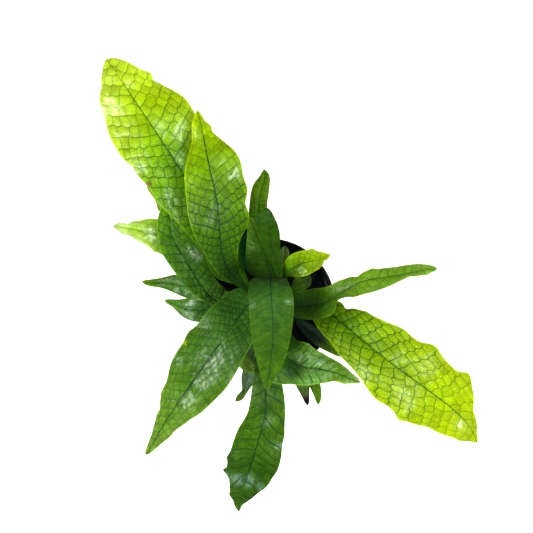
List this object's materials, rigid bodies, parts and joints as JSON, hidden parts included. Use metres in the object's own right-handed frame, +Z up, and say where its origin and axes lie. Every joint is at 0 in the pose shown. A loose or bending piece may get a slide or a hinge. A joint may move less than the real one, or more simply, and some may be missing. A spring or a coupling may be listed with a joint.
{
  "type": "potted crocodile fern",
  "caption": "Young crocodile fern in a round grower's pot: strap fronds with a raised net between sunken veins, spreading from a creeping rhizome on dark soil.",
  "frame": {"origin": "centre of the pot's flat underside", "axes": "+Z up, along the pot's axis; +Y the way the tallest blades lean; +X to the right of that, seen from above"},
  "size_m": [0.3251, 0.4035, 0.2436],
  "materials": {
    "pot_plastic": "satin",
    "potting_soil": "matte",
    "rhizome_scales": "matte",
    "frond_young": "satin",
    "frond_mature": "satin",
    "frond_old": "satin"
  },
  "bodies": {
    "root": {"pot": "pot_plastic", "soil": "potting_soil", "rhizome": "rhizome_scales", "frond_northwest_long": "frond_young", "frond_northwest_strip": "frond_young", "frond_north_broad": "frond_mature", "frond_west_curved": "frond_mature", "frond_west_young": "frond_young", "frond_west_low": "frond_mature", "frond_west_short": "frond_mature", "frond_southwest_broad": "frond_mature", "frond_centre_arched": "frond_mature", "frond_south_long": "frond_mature", "frond_southeast_pointed": "frond_mature", "frond_southeast_broad": "frond_young", "frond_east_narrow": "frond_mature", "frond_northeast_young": "frond_young", "frond_northeast_small": "frond_old", "frond_north_low": "frond_old", "frond_north_upright": "frond_old", "frond_north_inner": "frond_old", "frond_north_shaded": "frond_old", "frond_east_blunt": "frond_old", "frond_southeast_shaded": "frond_old", "frond_south_small": "frond_old", "frond_south_sliver": "frond_old", "frond_south_curled": "frond_old", "frond_south_olive": "frond_old"}
  },
  "joints": []
}
